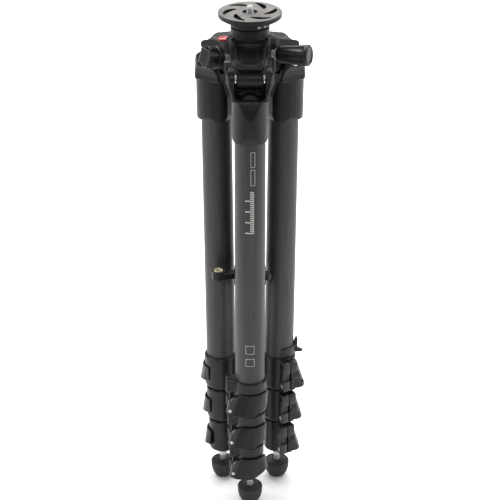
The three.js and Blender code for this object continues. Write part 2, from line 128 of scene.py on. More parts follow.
# ---- Places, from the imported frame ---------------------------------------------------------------
JOINTS = {joint["name"]: joint for joint in frame["joints"]}
BODY_OF = {
    node: body
    for body, nodes in frame["record"]["behaviour"]["bodies"].items()
    for node in nodes
}


def placed(origin, x_axis, z_axis):
    """A rotation and place from an origin in metres and two directions."""
    z = Vector(z_axis).normalized()
    x = (Vector(x_axis) - z * Vector(x_axis).dot(z)).normalized()
    place = Matrix((x, z.cross(x), z)).transposed().to_4x4()
    place.translation = Vector(origin)
    return place


def leg_place(leg):
    """The leg's own frame: the hinge pin along X, the leg down -Z, outward -Y."""
    hinge = JOINTS[f"{leg}_leg_spread"]
    slide = JOINTS[f"{leg}_section_2_slide"]
    return placed(hinge["pos_m"], -Vector(hinge["axis"]), -Vector(slide["axis"]))


def column_place():
    """The column axis where it meets the floor."""
    low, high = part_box("column_tube")
    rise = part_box("top_plate")[1].z - HEAD_TOP * MM
    return Matrix.Translation(((low.x + high.x) / 2, (low.y + high.y) / 2, rise))


COLUMN = column_place()
CRANK = placed(
    JOINTS["crank_turn"]["pos_m"], JOINTS["crank_handle_fold"]["axis"], JOINTS["crank_turn"]["axis"],
)
KNOB = placed(JOINTS["lock_knob_turn"]["pos_m"], (0, 0, -1), JOINTS["lock_knob_turn"]["axis"])
LEG_PLACES = {leg: leg_place(leg) for leg in LEGS}
LEG_TURNS = (0, 120, -120)


# ---- Outlines ------------------------------------------------------------------------------------
def arc(x, y, radius, start, end, steps):
    """Points round a centre, between two angles in degrees."""
    angles = [math.radians(start + (end - start) * i / steps) for i in range(steps + 1)]
    return [(x + radius * math.cos(a), y + radius * math.sin(a)) for a in angles]


def mirrored(outline):
    """The outline and its reflection across the Y axis, as one closed outline."""
    return list(outline) + [(-x, y) for x, y in reversed(outline)]


def filleted(points, radius, closed=False, steps=4):
    """The same outline with its corners rounded to about this radius."""
    points = [Vector(p) for p in points]
    count = len(points)
    result = []
    for i, corner in enumerate(points):
        if not closed and i in (0, count - 1):
            result.append(corner)
            continue
        before = points[i - 1] - corner
        after = points[(i + 1) % count] - corner
        if before.length < 1e-6 or after.length < 1e-6:
            result.append(corner)
            continue
        bend = before.angle(after)
        if bend > math.radians(172):
            result.append(corner)
            continue
        reach = min(radius / math.tan(bend / 2), before.length * 0.45, after.length * 0.45)
        start = corner + before.normalized() * reach
        end = corner + after.normalized() * reach
        for k in range(steps + 1):
            t = k / steps
            result.append(start * (1 - t) ** 2 + corner * (2 * t * (1 - t)) + end * t ** 2)
    return [tuple(p) for p in result]


# ---- Meshes, in millimetres ----------------------------------------------------------------------
def mesh_from(bm):
    """The mesh of a finished bmesh, with its faces turned outward."""
    bmesh.ops.recalc_face_normals(bm, faces=bm.faces)
    mesh = bpy.data.meshes.new("shape")
    bm.to_mesh(mesh)
    bm.free()
    return mesh


def turned(profile, sides=FINE_SIDES, place=None):
    """A body of revolution about Z. The profile is (radius, height) points, and it starts and ends
    on the axis, or ends where it starts."""
    bm = bmesh.new()
    closed = (Vector(profile[0]) - Vector(profile[-1])).length < 1e-6
    rings = []
    for radius, height in (profile[:-1] if closed else profile):
        if radius < 1e-6:
            rings.append([bm.verts.new((0, 0, height))])
            continue
        turns = [2 * math.pi * i / sides for i in range(sides)]
        rings.append([bm.verts.new((radius * math.cos(a), radius * math.sin(a), height)) for a in turns])
    pairs = list(zip(rings, rings[1:]))
    if closed:
        pairs.append((rings[-1], rings[0]))
    for low, high in pairs:
        for i in range(sides):
            j = (i + 1) % sides
            around = [low[i % len(low)], low[j % len(low)], high[j % len(high)], high[i % len(high)]]
            corners = list(dict.fromkeys(around))
            if len(corners) > 2:
                bm.faces.new(corners)
    if place:
        bm.transform(place)
    return mesh_from(bm)


# Turns from the XY plane to the named one.
PLANES = {
    "xy": Matrix.Identity(4),
    "yz": Matrix(((0, 0, 1, 0), (1, 0, 0, 0), (0, 1, 0, 0), (0, 0, 0, 1))),
    "xz": Matrix(((1, 0, 0, 0), (0, 0, -1, 0), (0, 1, 0, 0), (0, 0, 0, 1))),
}


def hull(points):
    """The convex body round these points."""
    bm = bmesh.new()
    corners = [bm.verts.new(point) for point in points]
    bmesh.ops.convex_hull(bm, input=corners, use_existing_faces=False)
    inner = [vert for vert in bm.verts if not vert.link_faces]
    bmesh.ops.delete(bm, geom=inner, context="VERTS")
    return mesh_from(bm)


def slab(outline, plane, start, end, soften=0.0, place=None):
    """An outline in the named plane, raised along its normal. The normal of xz is -Y."""
    bm = bmesh.new()
    low = [bm.verts.new((x, y, start)) for x, y in outline]
    high = [bm.verts.new((x, y, end)) for x, y in outline]
    bm.faces.new(low[::-1])
    bm.faces.new(high)
    for i in range(len(outline)):
        j = (i + 1) % len(outline)
        bm.faces.new((low[i], low[j], high[j], high[i]))
    if soften:
        soften_edges(bm, soften)
    bm.transform(PLANES[plane])
    if place:
        bm.transform(place)
    return mesh_from(bm)


def soften_edges(bm, width):
    bmesh.ops.recalc_face_normals(bm, faces=bm.faces)
    sharp = [edge for edge in bm.edges if edge.calc_face_angle(0) > math.radians(SOFTEN_ANGLE)]
    bmesh.ops.bevel(
        bm, geom=sharp, offset=width, segments=3, profile=0.5, affect="EDGES", clamp_overlap=True,
    )


def block(x0, x1, y0, y1, z0, z1, soften=0.0, place=None):
    """A box between these limits, with its edges rounded by `soften`."""
    bm = bmesh.new()
    bmesh.ops.create_cube(bm, size=1)
    size = Vector((x1 - x0, y1 - y0, z1 - z0))
    middle = Vector((x0 + x1, y0 + y1, z0 + z1)) / 2
    bm.transform(Matrix.Translation(middle) @ Matrix.Diagonal(size).to_4x4())
    if soften:
        soften_edges(bm, soften)
    if place:
        bm.transform(place)
    return mesh_from(bm)


def rod(radius, z0, z1, place, soften, sides=ROD_SIDES):
    """A cylinder along Z, with its rims rounded by `soften`."""
    profile = [(0, z0), (radius, z0), (radius, z1), (0, z1)]
    return turned(filleted(profile, soften) if soften else profile, sides, place)


def turn(axis, degrees):
    return Matrix.Rotation(math.radians(degrees), 4, axis)


def move(x, y, z):
    return Matrix.Translation((x, y, z))


ALONG_X = turn("Y", 90)
OUTWARD = turn("X", 90)
INWARD = turn("X", -90)


def evaluated(mesh, modifiers):
    """The mesh after these modifiers, each a (kind, settings) pair."""
    worker = bpy.data.objects.new("worker", mesh)
    bpy.context.scene.collection.objects.link(worker)
    helpers = []
    for kind, settings in modifiers:
        modifier = worker.modifiers.new(kind.lower(), kind)
        for name, value in settings.items():
            if name == "cutter":
                helper = bpy.data.objects.new("helper", value)
                bpy.context.scene.collection.objects.link(helper)
                helper.hide_render = True
                helpers.append(helper)
                modifier.object = helper
            else:
                setattr(modifier, name, value)
    graph = bpy.context.evaluated_depsgraph_get()
    result = bpy.data.meshes.new_from_object(worker.evaluated_get(graph))
    for extra in [worker, *helpers]:
        bpy.data.objects.remove(extra)
    return result


def combined(operation, base, *others):
    """The base joined with, cut by or limited to each of the others in turn."""
    settings = {"operation": operation, "solver": "MANIFOLD"}
    return evaluated(base, [("BOOLEAN", {**settings, "cutter": other}) for other in others])


def joined(base, *others):
    return combined("UNION", base, *others)


def cut(base, *others):
    return combined("DIFFERENCE", base, *others)


def shared(base, *others):
    return combined("INTERSECT", base, *others)


def cast(mesh, voxel, passes):
    """The mesh as a casting or moulding: every edge and inside corner gets a small radius."""
    return evaluated(mesh, [
        ("REMESH", {"mode": "VOXEL", "voxel_size": voxel}),
        ("SMOOTH", {"factor": 0.5, "iterations": passes}),
    ])


def shade(mesh):
    """Smooth shading that breaks at sharp edges."""
    bm = bmesh.new()
    bm.from_mesh(mesh)
    for face in bm.faces:
        face.smooth = True
    for edge in bm.edges:
        edge.smooth = edge.calc_face_angle(0) < math.radians(SMOOTH_ANGLE)
    bm.to_mesh(mesh)
    bm.free()


# ---- Materials -----------------------------------------------------------------------------------
def add(tree, kind, inputs, **settings):
    """A new node, with each input linked or set, and its own settings."""
    made = tree.nodes.new(kind)
    for name, value in settings.items():
        setattr(made, name, value)
    for name, value in inputs.items():
        if isinstance(value, bpy.types.NodeSocket):
            tree.links.new(value, made.inputs[name])
        else:
            made.inputs[name].default_value = value
    return made


class Finish:
    """One procedural material. Lengths in its textures are in metres, on each piece's own axes."""

    def __init__(self, name, **constants):
        self.material = bpy.data.materials.new(name)
        self.material.use_nodes = True
        self.tree = self.material.node_tree
        self.shader = self.tree.nodes["Principled BSDF"]
        for socket, value in constants.items():
            self.shader.inputs[socket.replace("_", " ")].default_value = value
        self.spot = add(self.tree, "ShaderNodeTexCoord", {}).outputs["Object"]

    def noise(self, scale, detail=3, stretch=(1, 1, 1)):
        where = add(self.tree, "ShaderNodeMapping", {"Vector": self.spot, "Scale": stretch})
        inputs = {"Vector": where.outputs["Vector"], "Scale": scale, "Detail": detail}
        return add(self.tree, "ShaderNodeTexNoise", inputs).outputs["Fac"]

    def scaled(self, value, low, high, start=0.3, end=0.7):
        """The value mapped from start..end to low..high."""
        inputs = {"Value": value, "From Min": start, "From Max": end, "To Min": low, "To Max": high}
        return add(self.tree, "ShaderNodeMapRange", inputs).outputs["Result"]

    def sum_of(self, first, second, weight):
        """The first value plus the second times its weight."""
        inputs = {0: second, 1: weight, 2: first}
        return add(self.tree, "ShaderNodeMath", inputs, operation="MULTIPLY_ADD").outputs[0]

    def tones(self, value, *stops):
        """A colour ramp over the value, with stops of (position, colour)."""
        ramp = add(self.tree, "ShaderNodeValToRGB", {"Fac": value})
        elements = ramp.color_ramp.elements
        while len(elements) < len(stops):
            elements.new(0.5)
        for element, (position, color) in zip(elements, stops):
            element.position = position
            element.color = (*color, 1)
        return ramp.outputs["Color"]

    def wear(self):
        """1 on worn, protruding edges and 0 elsewhere."""
        point = add(self.tree, "ShaderNodeNewGeometry", {}).outputs["Pointiness"]
        return self.scaled(point, 0, 1, 0.53, 0.6)

    def blended(self, amount, first, second):
        mix = add(self.tree, "ShaderNodeMix", {}, data_type="RGBA")
        self.tree.links.new(amount, mix.inputs[0])
        for socket, value in ((6, first), (7, second)):
            if isinstance(value, bpy.types.NodeSocket):
                self.tree.links.new(value, mix.inputs[socket])
            else:
                mix.inputs[socket].default_value = (*value, 1)
        return mix.outputs[2]

    def turning_marks(self, dark, light, rough):
        """The colour and roughness of fine rings round the Z axis, which also give the bump."""
        apart = add(self.tree, "ShaderNodeSeparateXYZ", {"Vector": self.spot})
        flat = add(self.tree, "ShaderNodeCombineXYZ", {"X": apart.outputs["X"], "Y": apart.outputs["Y"]})
        reach = add(self.tree, "ShaderNodeVectorMath", {0: flat.outputs[0]}, operation="LENGTH")
        line = add(self.tree, "ShaderNodeCombineXYZ", {"X": reach.outputs["Value"], "Y": apart.outputs["Z"]})
        inputs = {"Vector": line.outputs[0], "Scale": 2600, "Detail": 2}
        rings = add(self.tree, "ShaderNodeTexNoise", inputs, noise_dimensions="2D").outputs["Fac"]
        mixed = self.sum_of(self.scaled(rings, 0, 0.6), self.scaled(self.noise(70), 0, 1), 0.4)
        self.bump(rings, 0.12, 0.00008)
        color = self.tones(mixed, (0.1, dark), (0.9, light))
        return color, self.scaled(mixed, rough - 0.06, rough + 0.08, 0, 1)

    def color(self, socket):
        self.tree.links.new(socket, self.shader.inputs["Base Color"])

    def roughness(self, socket):
        self.tree.links.new(socket, self.shader.inputs["Roughness"])

    def bump(self, height, strength, distance):
        inputs = {"Height": height, "Strength": strength, "Distance": distance}
        normal = add(self.tree, "ShaderNodeBump", inputs).outputs["Normal"]
        self.tree.links.new(normal, self.shader.inputs["Normal"])


def carbon_finish():
    """Clear-coated carbon tube: fine fibres along the tube over faint broad bands."""
    look = Finish("carbon_tube", Specular_IOR_Level=0.3, Coat_Weight=0.08, Coat_Roughness=0.25)
    fibres = look.noise(900, 3, (1, 1, 0.02))
    bands = look.noise(90, 2, (1, 1, 0.06))
    mixed = look.sum_of(look.scaled(fibres, 0, 0.62), look.scaled(bands, 0, 1), 0.38)
    look.color(look.tones(
        mixed, (0.0, (0.026, 0.0245, 0.0225)), (0.5, (0.04, 0.0378, 0.035)), (1.0, (0.063, 0.0595, 0.055)),
    ))
    look.roughness(look.scaled(fibres, 0.4, 0.54))
    look.bump(fibres, 0.25, 0.0001)
    return look.material


def casting_finish():
    """Black powder-coated alloy, with a fine texture and edges polished by handling."""
    look = Finish("black_casting", Specular_IOR_Level=0.24)
    cloud = look.noise(60, 3)
    grain = look.noise(1600, 2)
    coat = look.tones(cloud, (0.3, (0.0055, 0.0055, 0.006)), (0.7, (0.01, 0.01, 0.0105)))
    look.color(look.blended(look.wear(), coat, (0.035, 0.035, 0.037)))
    look.roughness(look.scaled(cloud, 0.33, 0.45))
    look.bump(grain, 0.22, 0.00015)
    return look.material


def moulding_finish():
    """Black satin moulded plastic."""
    look = Finish("black_moulding", Specular_IOR_Level=0.3)
    cloud = look.noise(80, 3)
    grain = look.noise(2200, 2)
    shell = look.tones(cloud, (0.3, (0.0075, 0.0075, 0.008)), (0.7, (0.013, 0.013, 0.0135)))
    look.color(look.blended(look.wear(), shell, (0.045, 0.045, 0.047)))
    look.roughness(look.scaled(cloud, 0.3, 0.42))
    look.bump(grain, 0.15, 0.0001)
    return look.material


def rubber_finish():
    """Matt black rubber with a little dust."""
    look = Finish("black_rubber", Specular_IOR_Level=0.4)
    dust = look.noise(140, 4)
    look.color(look.tones(dust, (0.35, (0.012, 0.012, 0.012)), (0.75, (0.03, 0.029, 0.028))))
    look.roughness(look.scaled(dust, 0.55, 0.8))
    look.bump(look.noise(1500, 3), 0.4, 0.0002)
    return look.material


def turned_metal_finish(name, dark, light, rough, metallic):
    """Metal with fine turning marks round the piece's own Z axis."""
    look = Finish(name, Metallic=metallic)
    color, roughness = look.turning_marks(dark, light, rough)
    look.color(color)
    look.roughness(roughness)
    return look.material


def plate_finish():
    """Black anodised alloy whose top face is machined back to bright metal."""
    look = Finish("plate_alloy", Specular_IOR_Level=0.25)
    machined, roughness = look.turning_marks((0.115, 0.11, 0.105), (0.19, 0.183, 0.175), 0.42)
    height = add(look.tree, "ShaderNodeSeparateXYZ", {"Vector": look.spot}).outputs["Z"]
    facing = add(look.tree, "ShaderNodeTexCoord", {}).outputs["Normal"]
    upward = add(look.tree, "ShaderNodeSeparateXYZ", {"Vector": facing}).outputs["Z"]
    high = look.scaled(height, 0, 1, (HEAD_TOP - 0.9) * MM, (HEAD_TOP - 0.7) * MM)
    flat = look.scaled(upward, 0, 1, 0.6, 0.8)
    bare = add(look.tree, "ShaderNodeMath", {0: high, 1: flat}, operation="MULTIPLY").outputs[0]
    look.color(look.blended(bare, (0.012, 0.012, 0.0125), machined))
    look.tree.links.new(look.scaled(bare, 0, 0.8, 0, 1), look.shader.inputs["Metallic"])
    look.roughness(roughness)
    return look.material


def red_finish():
    """Glossy red plastic."""
    look = Finish("red_cap", Coat_Weight=0.6, Coat_Roughness=0.08)
    cloud = look.noise(260, 2)
    look.color(look.tones(cloud, (0.3, (0.42, 0.012, 0.008)), (0.7, (0.62, 0.03, 0.02))))
    look.roughness(look.scaled(cloud, 0.2, 0.32))
    return look.material


def print_finish():
    """Pale screen-printed ink, thin enough for the tube's fibres to show."""
    look = Finish("pale_print", Specular_IOR_Level=0.4)
    fibres = look.noise(900, 3, (1, 1, 0.02))
    look.color(look.tones(fibres, (0.2, (0.42, 0.41, 0.4)), (0.7, (0.62, 0.61, 0.59))))
    look.roughness(look.scaled(fibres, 0.4, 0.55))
    return look.material


FINISHES = {
    "carbon": carbon_finish(),
    "casting": casting_finish(),
    "moulding": moulding_finish(),
    "rubber": rubber_finish(),
    "steel": turned_metal_finish("bright_steel", (0.46, 0.46, 0.46), (0.68, 0.68, 0.68), 0.26, 0.5),
    "plate": plate_finish(),
    "brass": turned_metal_finish("machined_brass", (0.58, 0.51, 0.34), (0.84, 0.77, 0.56), 0.3, 0.6),
    "red": red_finish(),
}
PRINT = print_finish()
# A dark copy of the bright steel, as painted shade: the clamp screws sit in shadow, and this darker colour
# paints it.
STEEL_IN_PAINTED_SHADE = turned_metal_finish("steel_in_painted_shade", (0.012, 0.012, 0.012), (0.04, 0.04, 0.04), 0.35, 0.6)


# ---- Pieces --------------------------------------------------------------------------------------
def ready(mesh, slot, material=None):
    """A finished shape in metres, with its material."""
    mesh.transform(Matrix.Scale(MM, 4))
    shade(mesh)
    mesh.materials.clear()
    mesh.materials.append(material or FINISHES[slot])
    mesh["slot"] = slot
    return mesh


def piece(name, mesh, place, body, *replaced):
    """A shown piece that rides on a body and may take the place of CAD nodes."""
    made = bpy.data.objects.new(name, mesh)
    bpy.context.scene.collection.objects.link(made)
    made.matrix_world = place
    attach(made, body)
    if replaced:
        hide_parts(*replaced)


def stand_in(node, mesh, place):
    """The fine piece that stands for one CAD node."""
    piece(f"{node}_fine", mesh, place, BODY_OF[node], node)


def metres(place):
    """The same place with its millimetre offset in metres."""
    result = place.copy()
    result.translation = place.translation * MM
    return result


def millimetres(place):
    """The same place with its offset in millimetres."""
    result = place.copy()
    result.translation = place.translation / MM
    return result


# ---- Leg pieces, in the leg's own frame ----------------------------------------------------------
def lock_bottom(section):
    return -LOCK_TOP[section] - LOCK_HEIGHT


def tube_shape(section):
    """One leg tube with its rims softened."""
    radius = TUBE_RADIUS[section]
    inner = radius - TUBE_WALL
    top, bottom = -TUBE_TOP[section], -TUBE_BOTTOM[section]
    profile = filleted([(inner, bottom), (radius, bottom), (radius, top), (inner, top)], 0.3, True)
    return ready(turned(profile + profile[:1]), "carbon")


def oval_column(half, depth, low, high):
    """An upright column whose section is an ellipse."""
    return rod(1, low, high, Matrix.Diagonal((half, depth, 1, 1)), 0, FINE_SIDES)


def fork_slot(floor, widen=0.0):
    """The outline of the gap between the ears, seen from the front."""
    half = EAR_INNER + widen
    return filleted([(-half, 40), (-half, floor - widen), (half, floor - widen), (half, 40)], 6.5 + widen)


def fork_shape():
    """The casting at the top of a leg: two ears over a sleeve that holds the tube."""
    front = mirrored(filleted([
        (0, -78), (20.2, -78), (SLEEVE_HALF, -72), (SLEEVE_HALF, -18), (24.8, -10), (EAR_OUTER, -3),
        (EAR_OUTER, 9), (24, 15), (0, 15),
    ], 4)[1:-1])
    side = filleted(
        arc(0, 0, EAR_RADIUS, 0, 190, 26)
        + [(-18.5, -18), (-22.8, -32), (-25, -46), (-25, -60), (-23.6, -71), (-20.4, -78)]
        + [(20.4, -78), (22, -70), (22, -46), (19, -30)], 3.5, True,
    )
    plan = joined(oval_column(22.4, 25, -79, -24), oval_column(30.5, 23.5, -24.5, 20))
    core = shared(slab(front, "xz", -30, 30), slab(side, "yz", -30, 30), plan)
    ear_dish = [rod(6.6, EAR_OUTER - 0.8, 40, turn("Y", angle), 0) for angle in (90, -90)]
    core = cut(
        core,
        slab(fork_slot(SLOT_FLOOR), "xz", -2, 40),
        slab(fork_slot(SLOT_STEP), "xz", -40, -1),
        slab(fork_slot(SLOT_FLOOR, 1.4), "xz", 18.5, 40),
        rod(TUBE_RADIUS[0] + BORE_GAP, -90, BORE_GAP - TUBE_TOP[0], None, 0, FINE_SIDES),
        rod(HINGE_RADIUS + BORE_GAP, -40, 40, ALONG_X, 0),
        block(-LATCH_HALF - 0.9, LATCH_HALF + 0.9, -16, -1, -31.2, 0),
        *ear_dish,
    )
    return ready(cast(core, 0.75, 4), "casting")


def hinge_pin_shape():
    """The hinge pin, just inside the ears, with a hexagonal socket in each end."""
    half = EAR_OUTER - 1.4
    pin = rod(HINGE_RADIUS, -half, half, None, 0.5)
    sockets = []
    for low, high in ((EAR_OUTER - 4, EAR_OUTER), (-EAR_OUTER, 4 - EAR_OUTER)):
        sockets.append(rod(2.2, low, high, None, 0, 6))
    return ready(cut(pin, *sockets), "steel")


def latch_shape():
    """The sliding stop: a lip with an arched front edge over a recess, and a domed thumb plate."""
    arched = arc(0, -19.3, 12.3, 159.6, 20.4, 18)
    lip = slab(arched + [(LATCH_HALF, -2), (-LATCH_HALF, -2)], "xy", -15, -13.4, 0.35)
    inset = LATCH_HALF - 0.5
    back = block(-inset, inset, -5.5, -2.4, -22.8, -14, 0.4)
    base = block(-inset, inset, -14.4, -3, -23.5, -22.2, 0.4)
    dome = slab(arc(0, -27, 10.5, 19, 161, 24), "xz", 12.4, 15, 0.5)
    return ready(joined(base, back, lip, dome), "moulding")


def collar_shape(section):
    """The clamp collar: a plain ring with a split bracket beside it, which carries the lever."""
    radius = LOCK_RADIUS[section]
    bottom = lock_bottom(section)
    top = -LOCK_TOP[section]
    upper = TUBE_RADIUS[section] + BORE_GAP
    lower = TUBE_RADIUS[section + 1] + BORE_GAP
    step = -TUBE_BOTTOM[section] - BORE_GAP
    outline = filleted([
        (lower, bottom), (radius - 1, bottom), (radius, bottom + 2), (radius, top - 1.5), (radius - 1.2, top),
        (upper, top), (upper, step), (lower, step),
    ], 0.7, True, 3)
    ring = turned(outline + outline[:1])
    hollow = rod(TUBE_RADIUS[section] + 1.2, bottom - 5, top + 5, None, 0, FINE_SIDES)
    outer = -radius - BRACKET_REACH
    high = bottom + BRACKET_TOP
    flange = block(outer, -radius + 3, 0.4, 10.5, bottom + 1, high, 1.8)
    notch = block(outer - 1, outer + 2.8, 0, 11, bottom + 16, bottom + 27, 0.8)
    boss = block(outer, -radius + 5, -11, -0.4, bottom + BOSS_BOTTOM, high, 2.2)
    shelf = block(-radius - 6.8, -radius + 6, -9, 1, bottom + 0.2, bottom + LEVER_FOOT - 0.3, 0.5)
    seats = []
    for y, towards, up, depth in (
        (-11, OUTWARD, CLAMP_SCREW_UP, 1.6), (10.5, INWARD, CLAMP_SCREW_UP, 1.6),
        (10.5, INWARD, PIVOT_NUT_UP, 1.4),
    ):
        at = move(-radius - SCREW_OUT, y, bottom + up) @ towards
        seats.append(rod(3.4, -depth, 2, at, 0))
    split = block(outer - 2, -TUBE_RADIUS[section] - 1, -0.4, 0.4, bottom - 2, top + 2)
    bracket = cut(joined(cut(flange, notch), boss, shelf), hollow)
    body = cut(joined(ring, bracket), split, *seats)
    pivot = rod(1.6, bottom + 0.4, bottom + BOSS_BOTTOM + 2, pivot_place(section), 0, 20)
    return ready(joined(body, pivot), "moulding")


def pivot_place(section):
    """The axis that the lever turns about."""
    return move(-LOCK_RADIUS[section] - PIVOT_OUT, PIVOT_Y, 0)


def lever_shape(section):
    """The flip lever: a crescent, fuller towards its lower edge, with a bevel under its finger tip."""
    radius = LOCK_RADIUS[section]
    scale = (radius + LEVER_FULLNESS) / (LOCK_RADIUS[0] + LEVER_FULLNESS)
    bottom = lock_bottom(section)
    low = bottom + LEVER_FOOT
    high = bottom + LEVER_TOP
    tip = LEVER_TIP[section]
    outline = [(x * scale, y * scale) for x, y in LEVER_OUTLINE]
    lower_edge = filleted(outline + [(tip * 0.89, -18 * scale), (tip, -8 * scale)], 9)
    upper_edge = arc(0, 0, LEVER_TOP_RADIUS * scale, 180, 360, 28)
    full = hull([(x, y, low) for x, y in lower_edge] + [(x, y, high) for x, y in upper_edge])

    def side_cut(points):
        return slab([(x * scale, bottom + z) for x, z in points], "xz", -60, 60)

    pivot_corner = side_cut(filleted([
        (-40, LEVER_BARREL_TOP), (-26, LEVER_BARREL_TOP), (-20, 24), (-13, 29), (-4, 30.5), (-4, 40),
        (-40, 40),
    ], 4))
    tip_corner = side_cut([(2, 1), (22, 9.5), (40, 17.2), (40, -5), (2, -5)])
    towards = Vector((0.775, -0.63, -1)).to_track_quat("Z", "Y").to_matrix().to_4x4()
    bevel_place = move(14 * scale, -24 * scale, bottom + 6.2) @ towards @ move(0, 0, -4.4)
    bevel = block(-60, 60, -60, 60, 0, 60, 0, bevel_place)
    inside = rod(radius + LEVER_GAP, low - 2, high + 2, None, 0, FINE_SIDES)
    behind = block(-60, 60, -6, 60, low - 2, high + 2)
    crescent = cut(full, inside, behind, pivot_corner, tip_corner, bevel)
    place = pivot_place(section)
    barrel = rod(3.2, low, bottom + LEVER_BARREL_TOP, place, 0.3)
    bore = rod(2, low - 1, high, place, 0)
    bolt_hole = rod(3, -3.2, 6, move(*bolt_spot(section)) @ OUTWARD, 0)
    body = cut(joined(crescent, barrel), bore, bolt_hole)
    return ready(cast(body, 0.55, 4), "moulding")


def bolt_spot(section):
    """Where the lever's pinch bolt meets the lever's outward face."""
    radius = LOCK_RADIUS[section]
    return (-radius - SCREW_OUT, -radius - 3.4, lock_bottom(section) + 7.5)


def screw_shape(radius, depth, material=None):
    """A socket-head screw whose face looks along its own +Z."""
    body = turned(filleted([(0, -depth), (radius, -depth), (radius, 0), (0, 0)], 0.35), ROD_SIDES)
    socket = rod(radius * 0.5, -depth * 0.7, 1, None, 0, 6)
    return ready(cut(body, socket), "steel", material)


def stud_shape():
    """The silver stud between the lowest tube and the foot, with a plug inside the tube."""
    plug = TUBE_RADIUS[3] - TUBE_WALL - BORE_GAP
    top = 12 - TUBE_BOTTOM[3]
    rim = -TUBE_BOTTOM[3] - BORE_GAP
    profile = filleted([
        (0, -STUD_BOTTOM), (4.2, -STUD_BOTTOM), (4.2, -566), (6, -565), (6, rim), (plug, rim), (plug, top),
        (0, top),
    ], 0.4)
    return ready(turned(profile, 48), "steel")


def foot_shape(leg):
    """The rubber foot: like half a ball with a flat top, cut level where it stands."""
    outline = [
        (0, -599), (7.5, -599), (11.5, -595.5), (14.3, -590.5), (15.9, -584), (16.2, -577.5), (16.2, -576),
        (15.4, -574.6), (13.6, -574.2), (13, -575), (6.4, -574.6), (5.8, -573.6), (0, -573.6),
    ]
    ball = turned(filleted(outline, 1.2), 72)
    down = LEG_PLACES[leg].to_quaternion().inverted() @ Vector((0, 0, 1))
    level = Vector((0, 0, 1)).rotation_difference(down).to_matrix().to_4x4()
    floor = block(-30, 30, -30, 30, -10, 0, 0, move(0, 0, -FOOT_BOTTOM) @ level)
    socket = rod(4.5, -STUD_BOTTOM - BORE_GAP, -560, None, 0)
    return ready(cut(ball, floor, socket), "rubber")


def clip_shape():
    """The key clip: an open band with a hook and a pointed fin."""
    spin = turn("Z", 240)
    hollow = rod(TUBE_RADIUS[0] + BORE_GAP, -420, -370, None, 0, FINE_SIDES)
    band = rod(TUBE_RADIUS[0] + 2.4, -408.5, -396, None, 0.8, FINE_SIDES)
    fin_side = [(18, -400), (30.5, -405.5), (31, -406.8), (30.5, -407.8), (18, -409)]
    fin = slab(filleted(fin_side, 0.8, True), "xz", -2.5, 2.5, 0.6, spin)
    hook_side = [
        (19.6, -404.8), (24.2, -404.8), (24.2, -389.5), (23, -387.2), (21.6, -387.2), (19.6, -391),
    ]
    hook = slab(filleted(hook_side, 1.2, True), "xz", -3, 3, 0.7, spin)
    opening = slab([(0, 0)] + arc(0, 0, 40, 10, 161, 12), "xy", -412, -380)
    return ready(cast(cut(joined(band, fin, hook), hollow, opening), 0.5, 3), "moulding")


def scale_marks_shape():
    """Generic printed marks on the front tube: outlined panels and a plain ruler scale."""
    radius = TUBE_RADIUS[0] + 0.05
    thickness = 0.07
    bm = bmesh.new()

    def patch(x0, x1, z0, z1):
        """A thin curved film on the tube, x along its surface."""
        steps = max(2, int((x1 - x0) / 1.5))
        rows = []
        for z in (z0, z1):
            for r in (radius, radius + thickness):
                line = []
                for i in range(steps + 1):
                    a = (x0 + (x1 - x0) * i / steps) / radius - math.pi / 2
                    line.append(bm.verts.new((r * math.cos(a), r * math.sin(a), z)))
                rows.append(line)
        inner_low, outer_low, inner_high, outer_high = rows
        around = (outer_low, outer_high, inner_high, inner_low, outer_low)
        for low, high in zip(around, around[1:]):
            for i in range(steps):
                bm.faces.new((low[i], low[i + 1], high[i + 1], high[i]))
        for i in (0, steps):
            bm.faces.new((inner_low[i], outer_low[i], outer_high[i], inner_high[i]))

    def panel(x0, x1, z0, z1):
        """Four thin lines round an empty panel."""
        line = 0.5
        patch(x0, x1, z0, z0 + line)
        patch(x0, x1, z1 - line, z1)
        patch(x0, x0 + line, z0 + line + 0.01, z1 - line - 0.01)
        patch(x1 - line, x1, z0 + line + 0.01, z1 - line - 0.01)

    panel(0.8, 6.2, -108, -88)
    panel(0.8, 6.2, -132, -111)
    patch(4.2, 4.8, -197, -141)
    for tick in range(20):
        left = -6 if tick % 5 == 0 else 0.2
        low = -196.5 + tick * 2.9
        patch(left, 4.1, low, low + 1.4)
    panel(-5.6, 5.6, -366, -354)
    panel(-5.6, 5.6, -384, -373)
    return ready(mesh_from(bm), "carbon", PRINT)


# ---- Centre pieces, about the column axis --------------------------------------------------------
# Sections of the hollow in an arm's top: distance out, floor, ridge, half width of floor and of ridge.
DISH_STATIONS = (
    (61.5, 617.8, 621, 9, 14.5), (48, 618.5, 626, 8, 15), (38, 621.5, 628, 7, 16), (31, 625, 631, 6, 18),
    (27, 628.5, 632.5, 3, 20), (24.6, 637.5, 637.5, 3, 20),
)


